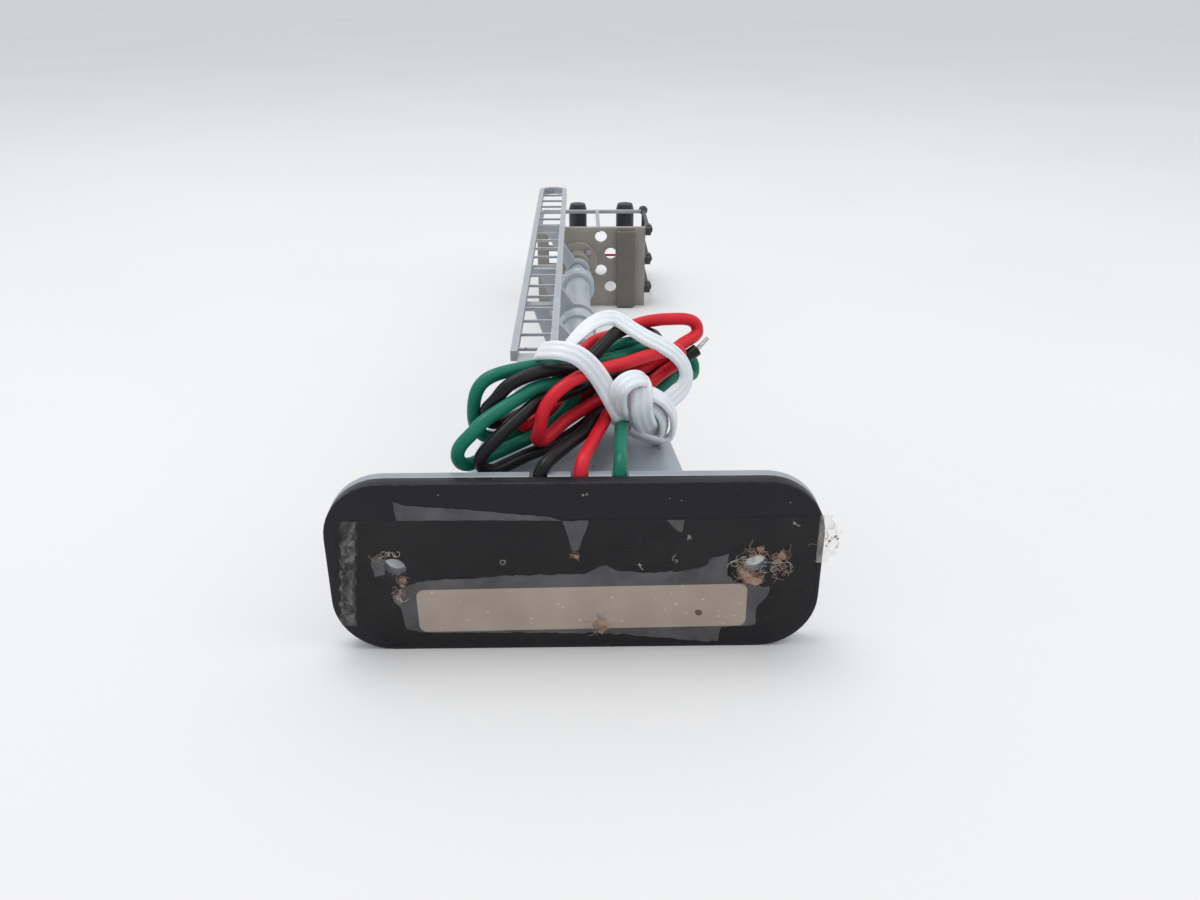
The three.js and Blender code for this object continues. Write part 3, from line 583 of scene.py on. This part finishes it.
sheet = bmesh.new()
film(sheet, [
    (-28.4, 7), (-12, 6.85), (10, 6.8), (29.7, 7.1), (29.8, 0), (29.6, -4.6), (27.4, -8.6),
    (24, -11), (-23, -11.2), (-26.4, -8.6), (-28.8, -4.6), (-29.2, 0),
], 0.01, 0.05)
finished("clear_film", sheet, clear_film, "black_plastic")

remains = bmesh.new()
glue_lift = 0.045
film(remains, [
    (-21.3, 9.5), (-21.1, 6.95), (-1.7, 6.75), (-2.8, 7.2), (-12.3, 8.3), (-19.7, 8.9),
], glue_lift, 0.06)
film(remains, [
    (-1.5, 6.7), (1.6, 6.7), (1, 4.6), (0.3, 2.6), (-0.3, 2.4), (-0.8, 4.4),
], glue_lift, 0.12)
film(remains, [(10.9, 6.7), (13, 6.65), (12.8, 5), (12.2, 5.2)], glue_lift, 0.06)
film(remains, [
    (-22.5, -4.2), (-22, -3.1), (-20.4, -2.1), (-18, -1.4), (-13.5, -1.3), (-9.3, -0.9), (-5, -0.8),
    (-0.9, -0.8), (1, -0.8), (2.4, 0), (3.6, 0.5), (4.8, -0.2), (8.3, -0.7), (13.6, -0.4),
    (15.6, 0.2), (16.8, 1.5), (18.6, 1.9), (18.6, -1.2), (19.3, -2), (21.2, -2.6), (23.9, -2.8),
    (23.4, -4.6), (22.5, -5.7), (22.4, -8.4), (18.2, -8.8), (17.9, -10.9), (15.6, -10.9),
    (8.5, -10), (3, -9.5), (-19.4, -9.1), (-21.2, -8.5), (-21.5, -5.9),
], glue_lift, 0.14)
film(remains, [
    (-24.6, 1.4), (-23.6, 2.1), (-22.9, 1.2), (-23.2, -0.6), (-24.4, -0.9),
], glue_lift, 0.25)
finished("glue_remains", remains, dull_film, "black_plastic")

creased_film, tree, shader = shade(
    "creased_clear_film", roughness=0.14, base_color=(0.3, 0.29, 0.28, 1)
)
skin = placed(tree, grain_group, scale=700, fine=2500)
ranged(tree, skin["Tone"], (0.35, 0.7), (0.04, 0.4), shader.inputs["Alpha"])
bumped(tree, shader, skin["Height"], 0.00006)

wrinkled = bmesh.new()
bmesh.ops.create_grid(wrinkled, x_segments=12, y_segments=70, size=1)
for v in wrinkled.verts:
    x, z = -27.6 + 0.95 * v.co.x + 0.8 * v.co.y, -0.6 + 7.4 * v.co.y
    crest = noise.noise(Vector((x * 1.1, z * 1.7, 3))) + 0.5 * noise.noise(Vector((x * 3, z * 3.4, 8)))
    fold = max(0, crest) * (1 - v.co.x**4) * (1 - v.co.y**6)
    v.co = Vector((x + 0.15 * math.sin(z * 3), -0.03 - 0.55 * fold, z)) * mm
bmesh.ops.solidify(wrinkled, geom=wrinkled.faces, thickness=0.02 * mm)
finished("wrinkled_film", wrinkled, creased_film, "black_plastic", angle=80)

flap = bmesh.new()
bmesh.ops.create_grid(flap, x_segments=10, y_segments=24, size=1)
for v in flap.verts:
    out, z = (v.co.x + 1) / 2, 3.9 + 3.3 * v.co.y
    ragged = 2.7 * (0.55 + 0.45 * noise.noise(Vector((z * 1.3, 2, 5)))) * (1 - 0.5 * v.co.y**4)
    curl = 0.35 * out * noise.noise(Vector((out * 2, z * 0.8, 1)))
    v.co = Vector((29.2 + out * (ragged + 0.6), -0.05 - 0.12 * out + curl, z)) * mm
bmesh.ops.solidify(flap, geom=flap.faces, thickness=0.02 * mm)
loose_film, tree, shader = shade(
    "loose_clear_film", roughness=0.12, base_color=(0.75, 0.72, 0.68, 1)
)
skin = placed(tree, grain_group, scale=500, fine=1500)
ranged(tree, skin["Tone"], (0.35, 0.7), (0.06, 0.26), shader.inputs["Alpha"])
bumped(tree, shader, skin["Height"], 0.0001)
finished("loose_film_flap", flap, loose_film, "black_plastic", angle=80)

# ---------------------------------------------------------------------------------------------
# Lint. Brown fibres and crumbs of dirt have stuck to the glue round the holes and on the label.
# ---------------------------------------------------------------------------------------------
brown_lint, tree, shader = shade("brown_lint", roughness=0.9)
skin = placed(tree, grain_group, scale=1400, fine=5000)
tone = mixed(tree, skin["Tone"], (0.13, 0.075, 0.05, 1), (0.56, 0.40, 0.30, 1))
tree.links.new(tone, shader.inputs["Base Color"])
bumped(tree, shader, skin["Height"], 0.0001)
pale_lint, tree, shader = shade("pale_lint", roughness=0.8)
skin = placed(tree, grain_group, scale=800, fine=2500)
tone = mixed(tree, skin["Tone"], (0.4, 0.36, 0.32, 1), (0.75, 0.72, 0.68, 1))
tree.links.new(tone, shader.inputs["Base Color"])
fibre_steps = 9


def fibres(name, material, tufts):
    """Tufts of curled fibres: centre x and z, spread, how many, and how long each is, in mm."""
    curve = bpy.data.curves.new(name, "CURVE")
    curve.dimensions = "3D"
    curve.bevel_depth = 0.022 * mm
    curve.bevel_resolution = 1
    curve.materials.append(material)
    for x, z, spread, count, long in tufts:
        for _ in range(count):
            angle, turn = dice.uniform(0, 6.28), dice.gauss(0, 0.5)
            place = [x + dice.gauss(0, spread), -0.12, z + dice.gauss(0, spread * 0.7)]
            spline = curve.splines.new("POLY")
            spline.points.add(fibre_steps)
            for point in spline.points:
                point.co = (place[0] * mm, place[1] * mm, place[2] * mm, 1)
                step = long / fibre_steps
                place[0] += step * math.cos(angle)
                place[2] += step * math.sin(angle)
                place[1] = min(-0.06, max(-0.7, place[1] + dice.uniform(-0.09, 0.09)))
                turn += dice.gauss(0, 0.18)
                angle += turn
            spline.use_smooth = True
    made = bpy.data.objects.new(name, curve)
    bpy.context.scene.collection.objects.link(made)
    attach(made, "root")
    return made


def crumbs(name, material, spots):
    """Small flattened lumps: centre x and z and radius, in mm."""
    shape = bmesh.new()
    for x, z, size in spots:
        lump = bmesh.ops.create_icosphere(shape, subdivisions=3, radius=1)["verts"]
        seed = Vector((x, z, size))
        for v in lump:
            uneven = 1 + 0.55 * noise.noise(v.co * 1.8 + seed) + 0.25 * noise.noise(v.co * 5 + seed)
            v.co = v.co * uneven
            v.co = Vector((x + size * v.co.x, -0.06 - 0.28 * size * v.co.y, z + size * v.co.z)) * mm
    return finished(name, shape, material, "black_plastic", angle=80)


fibres("lint_fibres", brown_lint, [
    (21.6, -1.6, 0.7, 60, 1.6), (20.4, 0.2, 0.4, 18, 1.8), (21.6, 2.2, 0.6, 24, 1.4),
    (24.9, 1.5, 0.45, 34, 1.5),
    (24.6, -0.9, 0.7, 12, 1.4), (-21.1, -1.5, 0.3, 16, 1.2), (-21.8, -3.1, 0.35, 10, 1.6),
    (3, -8.3, 0.6, 44, 1.4), (0.1, 1.9, 0.2, 10, 0.9), (-23.6, 1.8, 0.3, 8, 1.3), (30.8, 3.4, 0.7, 9, 1.4),
])
fibres("pale_fibres", pale_lint, [
    (-9, 0.8, 0.06, 2, 1), (8, 0.4, 0.1, 2, 1), (12, 1.1, 0.08, 2, 0.9), (26.2, 6.1, 0.06, 3, 0.8),
    (1, 10.2, 0.3, 2, 0.7), (20.6, 0.8, 0.6, 12, 2.2), (24.6, 0.6, 0.6, 14, 2), (31, 5.4, 0.5, 4, 2.4),
    (-22, 2.2, 0.3, 6, 1.3), (-21.8, -4.2, 0.2, 8, 1.4), (13.6, 4, 0.2, 3, 0.9),
])
crumbs("lint_crumbs", brown_lint, [
    (20.8, -1.3, 0.6), (21.5, -1.9, 0.7), (22.3, -2, 0.5), (20.3, -0.5, 0.35), (22.4, 2.5, 0.4),
    (25, 1.6, 0.45), (24.6, 0.7, 0.3), (-21, -1.4, 0.38), (-21.2, -2.2, 0.24), (3, -7.7, 0.65),
    (3.4, -8.5, 0.6),
    (2.4, -8.3, 0.5), (3.1, -9.2, 0.4), (0.1, 1.7, 0.24), (-21.7, 2, 0.16), (30.6, 3.6, 0.18),
    (31.3, 4.2, 0.2), (31.6, 3.9, 0.14), (30.3, 2.9, 0.12),
])

# ---------------------------------------------------------------------------------------------
# Label. A small beige paper label stuck on the cover, rubbed, stained and with nothing printed on
# it. It lies over the film and the glue.
# ---------------------------------------------------------------------------------------------
old_paper, tree, shader = shade(
    "old_label_paper", roughness=0.6, coat_weight=0.25, coat_roughness=0.25
)
skin = placed(tree, grain_group, scale=160, fine=2600)
base = mixed(tree, skin["Tone"], (0.27, 0.215, 0.175, 1), (0.45, 0.37, 0.31, 1))
foxed = placed(tree, speck_group, scale=330, size=0.16, share=0.14)
scuffed = placed(tree, speck_group, scale=1500, size=0.28, share=0.1)
base = mixed(tree, foxed["Mask"], base, (0.10, 0.065, 0.045, 1))
base = mixed(tree, scuffed["Mask"], base, (0.52, 0.45, 0.39, 1))
tree.links.new(base, shader.inputs["Base Color"])
bumped(tree, shader, skin["Height"], 0.00004)
label_low, label_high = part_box("label")
label = bmesh.new()
long, high, paper_thick, slant = 20.35 * mm, 3.1 * mm, 0.14 * mm, -0.012
corners = ((-long, -high), (long, -high), (long, high), (-long, high))
label.faces.new([label.verts.new((x, 0, z)) for x, z in corners])
bmesh.ops.bevel(
    label, geom=label.verts, offset=1 * mm, offset_type="OFFSET", segments=6, profile=0.5,
    affect="VERTICES", clamp_overlap=True, material=-1,
)
made = bmesh.ops.extrude_face_region(label, geom=list(label.faces))["geom"]
back = [v for v in made if isinstance(v, bmesh.types.BMVert)]
bmesh.ops.translate(label, verts=back, vec=(0, paper_thick, 0))
middle = (label_low + label_high) / 2
bmesh.ops.rotate(label, cent=(0, 0, 0), matrix=Matrix.Rotation(slant, 3, "Y"), verts=label.verts)
bmesh.ops.translate(label, verts=label.verts, vec=(middle.x, -0.1 * mm, middle.z))
finished("paper_label", label, old_paper, "label_paper", "label")

# ---------------------------------------------------------------------------------------------
# Casting. A hollow zinc casting, flange, tapered pedestal and mast socket in one piece, sprayed
# silver grey. The paint is chipped along the flange and flecked dark.
# ---------------------------------------------------------------------------------------------


def silver(name, dark, light, chips):
    """Silver-grey spray paint over zinc, rubbed bright along the edges."""
    made, tree, shader = shade(name, metallic=0.35, specular_ior_level=0.5)
    skin = placed(tree, grain_group, scale=170, fine=2600)
    worn = placed(tree, wear_group, width=0.00035, amount=chips, breakup=1100)
    flecks = placed(tree, speck_group, scale=800, size=0.17, share=0.05)
    base = mixed(tree, skin["Tone"], dark, light)
    base = mixed(tree, worn["Mask"], base, (0.62, 0.62, 0.62, 1))
    base = mixed(tree, flecks["Mask"], base, (0.1, 0.1, 0.1, 1))
    tree.links.new(base, shader.inputs["Base Color"])
    ranged(tree, skin["Tone"], (0.3, 0.7), (0.36, 0.5), shader.inputs["Roughness"])
    bumped(tree, shader, skin["Height"], 0.00003)
    return made


cast_silver = silver("cast_silver_paint", (0.24, 0.27, 0.305, 1), (0.36, 0.4, 0.445, 1), 0.72)
refined("cast_base", "base_casting", cast_silver, "silver_paint", 0.16 * mm)

# ---------------------------------------------------------------------------------------------
# Circuit board, its screws and resistors, and the other small steel screws, inside the base and
# under the deck. They keep their working shapes and take plain workshop finishes.
# ---------------------------------------------------------------------------------------------


def plain(name, dark, light, **sockets):
    """A finish of two close tones with a fine relief."""
    made, tree, shader = shade(name, **sockets)
    skin = placed(tree, grain_group, scale=300, fine=2600)
    tree.links.new(mixed(tree, skin["Tone"], dark, light), shader.inputs["Base Color"])
    bumped(tree, shader, skin["Height"], 0.00003)
    return made


def painted(part, finish):
    """Gives a CAD node that is kept as it is its own finish."""
    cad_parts[part].data.materials.clear()
    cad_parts[part].data.materials.append(finish)


bright_steel = plain(
    "bright_steel", (0.42, 0.42, 0.44, 1), (0.62, 0.62, 0.64, 1), metallic=1, roughness=0.3
)
laminate = plain("brown_laminate", (0.16, 0.08, 0.03, 1), (0.28, 0.16, 0.06, 1), roughness=0.4)
ceramic = plain("resistor_coating", (0.42, 0.31, 0.17, 1), (0.58, 0.45, 0.27, 1), roughness=0.4)
for part, finish in {
    "circuit_board": laminate, "resistor_red": ceramic, "resistor_green": ceramic,
    "board_screw_1": bright_steel, "board_screw_2": bright_steel, "set_screw": bright_steel,
    "deck_screw_1": bright_steel, "deck_screw_2": bright_steel, "deck_screw_3": bright_steel,
    "deck_screw_4": bright_steel, "lead_left": wire_materials["green"],
    "lead_right": wire_materials["red"],
}.items():
    painted(part, finish)

# ---------------------------------------------------------------------------------------------
# Mast. Three drawn tubes of falling diameter, joined by turned reducing collars.
# ---------------------------------------------------------------------------------------------
mast_silver = silver("mast_silver_paint", (0.32, 0.36, 0.40, 1), (0.46, 0.50, 0.55, 1), 0.62)


def turned(name, profile, material, slot, *nodes):
    """A ring turned about the mast's axis from a profile of radius and distance along it, in mm."""
    shape = bmesh.new()
    line = [shape.verts.new(Vector((radius, along, 0)) * mm) for radius, along in profile]
    edges = [shape.edges.new(pair) for pair in zip(line, [*line[1:], line[0]])]
    bmesh.ops.spin(
        shape, geom=[*line, *edges], cent=(0, 0, 0), axis=(0, 1, 0), dvec=(0, 0, 0),
        angle=2 * math.pi, steps=64, use_merge=True, use_duplicate=False,
    )
    bmesh.ops.remove_doubles(shape, verts=shape.verts, dist=1e-7)
    return finished(name, shape, material, slot, *nodes)


def rounded(profile, size):
    """The profile with each of its inner corners cut to a small chamfer pair."""
    made = [profile[0]]
    for before, corner, after in zip(profile, profile[1:], profile[2:]):
        a, b, c = Vector(before), Vector(corner), Vector(after)
        cut = min(size, (a - b).length / 3, (c - b).length / 3)
        near, far = b + (a - b).normalized() * cut, b + (c - b).normalized() * cut
        made += [tuple(near), tuple((near + far + 2 * b) / 4), tuple(far)]
    return [*made, profile[-1]]


socket_start, socket_end = 38.5, 43
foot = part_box("mast_lower")
middle_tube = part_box("mast_middle")
first_joint, second_joint = foot[1].y / mm, middle_tube[1].y / mm
turned(
    "lower_mast_tube",
    [(1.8, socket_start), *rounded([(1.8, socket_start), (4.7, socket_start), (4.7, socket_end + 1),
      (3.2, first_joint - 4), (3.2, first_joint), (1.8, first_joint)], 0.25)],
    mast_silver, "silver_paint", "mast_lower",
)
turned(
    "middle_mast_tube",
    [(1.6, first_joint + 0.1), (2.8, first_joint + 0.1), (2.8, second_joint), (1.6, second_joint)],
    mast_silver, "silver_paint", "mast_middle",
)
refined("upper_mast_tube", "mast_upper", mast_silver, "silver_paint", 0)
outer = 3.8
for count, joint, below, above in ((1, first_joint, 3.2, 2.8), (2, second_joint, 2.8, 1.9)):
    low, high = joint - 3, joint + 2.5
    profile = [
        (below + 0.03, low), (outer, low), (outer, low + 2.2), (outer - 0.35, low + 2.5),
        (outer - 0.35, low + 2.9), (outer, low + 3.2), (outer, high - 0.8), (outer - 0.7, high),
        (above + 0.03, high), (above + 0.03, joint), (below + 0.03, joint),
    ]
    turned(
        f"reducing_collar_{count}", [profile[0], *rounded(profile, 0.25)], mast_silver,
        "silver_paint", f"mast_collar_{count}",
    )

# ---------------------------------------------------------------------------------------------
# Ladder. Pressed rails with a hooped top and soldered rungs, on three stays and a foot bracket.
# ---------------------------------------------------------------------------------------------
ladder_silver = silver("ladder_silver_paint", (0.30, 0.33, 0.36, 1), (0.44, 0.47, 0.50, 1), 0.66)
refined("hooped_ladder", "ladder", ladder_silver, "silver_paint", 0.12 * mm)
for count in (1, 2, 3):
    refined(f"ladder_stay_arm_{count}", f"ladder_stay_{count}", ladder_silver, "silver_paint", 0.12 * mm)
refined("ladder_foot_bracket", "ladder_foot", ladder_silver, "silver_paint", 0.12 * mm)

# ---------------------------------------------------------------------------------------------
# Deck. A drilled lamp platform across the mast, with a channel under one side and a screwed
# socket that grips the mast. Taupe paint, the channel a shade darker.
# ---------------------------------------------------------------------------------------------


def enamel(name, dark, light, edge, chips, rough=0.5):
    """Opaque brushed enamel, worn lighter along its edges."""
    made, tree, shader = shade(name, roughness=rough)
    skin = placed(tree, grain_group, scale=220, fine=2200)
    worn = placed(tree, wear_group, width=0.00025, amount=chips, breakup=1300)
    base = mixed(tree, worn["Mask"], mixed(tree, skin["Tone"], dark, light), edge)
    tree.links.new(base, shader.inputs["Base Color"])
    bumped(tree, shader, skin["Height"], 0.00004)
    return made


taupe = enamel("taupe_enamel", (0.20, 0.185, 0.16, 1), (0.33, 0.31, 0.28, 1), (0.5, 0.48, 0.45, 1), 0.62)
umber = enamel("dark_enamel", (0.09, 0.082, 0.07, 1), (0.15, 0.14, 0.12, 1), (0.3, 0.28, 0.25, 1), 0.6)
refined("lamp_deck", "deck", taupe, "taupe_paint", 0.1 * mm)
refined("deck_channel_bar", "deck_channel", umber, "dark_paint", 0.1 * mm)
refined("deck_socket_ring", "deck_socket", taupe, "taupe_paint", 0.12 * mm)

# ---------------------------------------------------------------------------------------------
# Railings. Square brass bar, soldered, the upper and lower ones silver and the right one black,
# where the posts stand in black sockets. A turned knob caps the corner.
# ---------------------------------------------------------------------------------------------
black_enamel = enamel(
    "black_enamel", (0.014, 0.016, 0.02, 1), (0.03, 0.033, 0.042, 1), (0.12, 0.12, 0.12, 1), 0.6, 0.42
)
refined("upper_railing", "railing_top", ladder_silver, "silver_paint", 0.1 * mm)
refined("lower_railing", "railing_bottom", ladder_silver, "silver_paint", 0.1 * mm)
refined("right_railing", "railing_right", black_enamel, "black_paint", 0.1 * mm)
for count in (1, 2, 3):
    refined(f"railing_socket_{count}", f"post_socket_{count}", black_enamel, "black_paint", 0.1 * mm)
refined("railing_knob", "corner_knob", black_enamel, "black_paint", 0, shown_angle=50)
refined("right_lamp_post", "post_right", mast_silver, "silver_paint", 0)

# ---------------------------------------------------------------------------------------------
# Lamp heads. Each has a round black target, a turned housing behind it, a hood cut away below,
# a coloured moulded lens and a clear lamp.
# ---------------------------------------------------------------------------------------------
for side in ("left", "right"):
    refined(f"{side}_lamp_housing", f"housing_{side}", black_enamel, "black_paint", 0.1 * mm)
    refined(f"{side}_target_disc", f"target_{side}", black_enamel, "black_paint", 0.12 * mm)
    refined(f"{side}_lamp_hood", f"hood_{side}", black_enamel, "black_paint", 0.06 * mm)


def clear(name, colour, rough, through):
    """Clear moulded resin."""
    made, tree, shader = shade(
        name, base_color=colour, roughness=rough, transmission_weight=through, ior=1.49
    )
    skin = placed(tree, grain_group, scale=500, fine=3000)
    bumped(tree, shader, skin["Height"], 0.00002)
    return made


lamp_resin = clear("clear_lamp_resin", (0.85, 0.85, 0.8, 1), 0.12, 0.8)
for part, finish in {
    "lens_left": clear("green_lens_resin", (0.03, 0.45, 0.2, 1), 0.08, 0.7),
    "lens_right": clear("red_lens_resin", (0.6, 0.02, 0.03, 1), 0.08, 0.7),
    "lamp_left": lamp_resin,
    "lamp_right": lamp_resin,
}.items():
    painted(part, finish)

# ---------------------------------------------------------------------------------------------
# Room. A wide pale matt table under even soft light, a little weaker from the front.
# ---------------------------------------------------------------------------------------------
floor_height = min(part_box(name)[0].z for name in ("base_cover", "deck"))
table_half = 6
table = bmesh.new()
bmesh.ops.create_grid(table, x_segments=2, y_segments=2, size=table_half)
bmesh.ops.translate(table, verts=table.verts, vec=(0, 0, floor_height))
mesh = bpy.data.meshes.new("table")
table.to_mesh(mesh)
table.free()
pale, tree, shader = shade("pale_table", roughness=0.75, specular_ior_level=0.2)
skin = placed(tree, grain_group, scale=9, fine=420)
tree.links.new(
    mixed(tree, skin["Tone"], (0.70, 0.70, 0.705, 1), (0.76, 0.76, 0.762, 1)), shader.inputs["Base Color"]
)
bumped(tree, shader, skin["Height"], 0.0002, 0.5)
mesh.materials.append(pale)
table = bpy.data.objects.new("table", mesh)
bpy.context.scene.collection.objects.link(table)
table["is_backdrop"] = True

bpy.context.scene.view_settings.view_transform = "Standard"
room = bpy.data.worlds.new("room")
room.use_nodes = True
tree = room.node_tree
way = node(tree, "SeparateXYZ", {0: node(tree, "TexCoord").outputs["Generated"]})
tree.nodes["Background"].inputs["Color"].default_value = (0.97, 0.985, 1.0, 1)
strength = tree.nodes["Background"].inputs["Strength"]
ranged(tree, way.outputs["Y"], (-0.9, 0), (0.72, 0.9), strength)
bpy.context.scene.world = room


def soft_light(name, place, target, size, power):
    """A square area light aimed at a place, all in metres."""
    lamp = bpy.data.lights.new(name, "AREA")
    lamp.size = size
    lamp.energy = power
    made = bpy.data.objects.new(name, lamp)
    made.location = place
    way = Vector(target) - Vector(place)
    made.rotation_euler = way.to_track_quat("-Z", "Y").to_euler()
    bpy.context.scene.collection.objects.link(made)


soft_light("overhead", (-0.12, 0.1, 0.6), (0, 0.03, 0), 0.35, 1.5)
soft_light("side", (0.45, -0.1, 0.5), (0, 0.03, 0), 0.3, 0.5)

low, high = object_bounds()
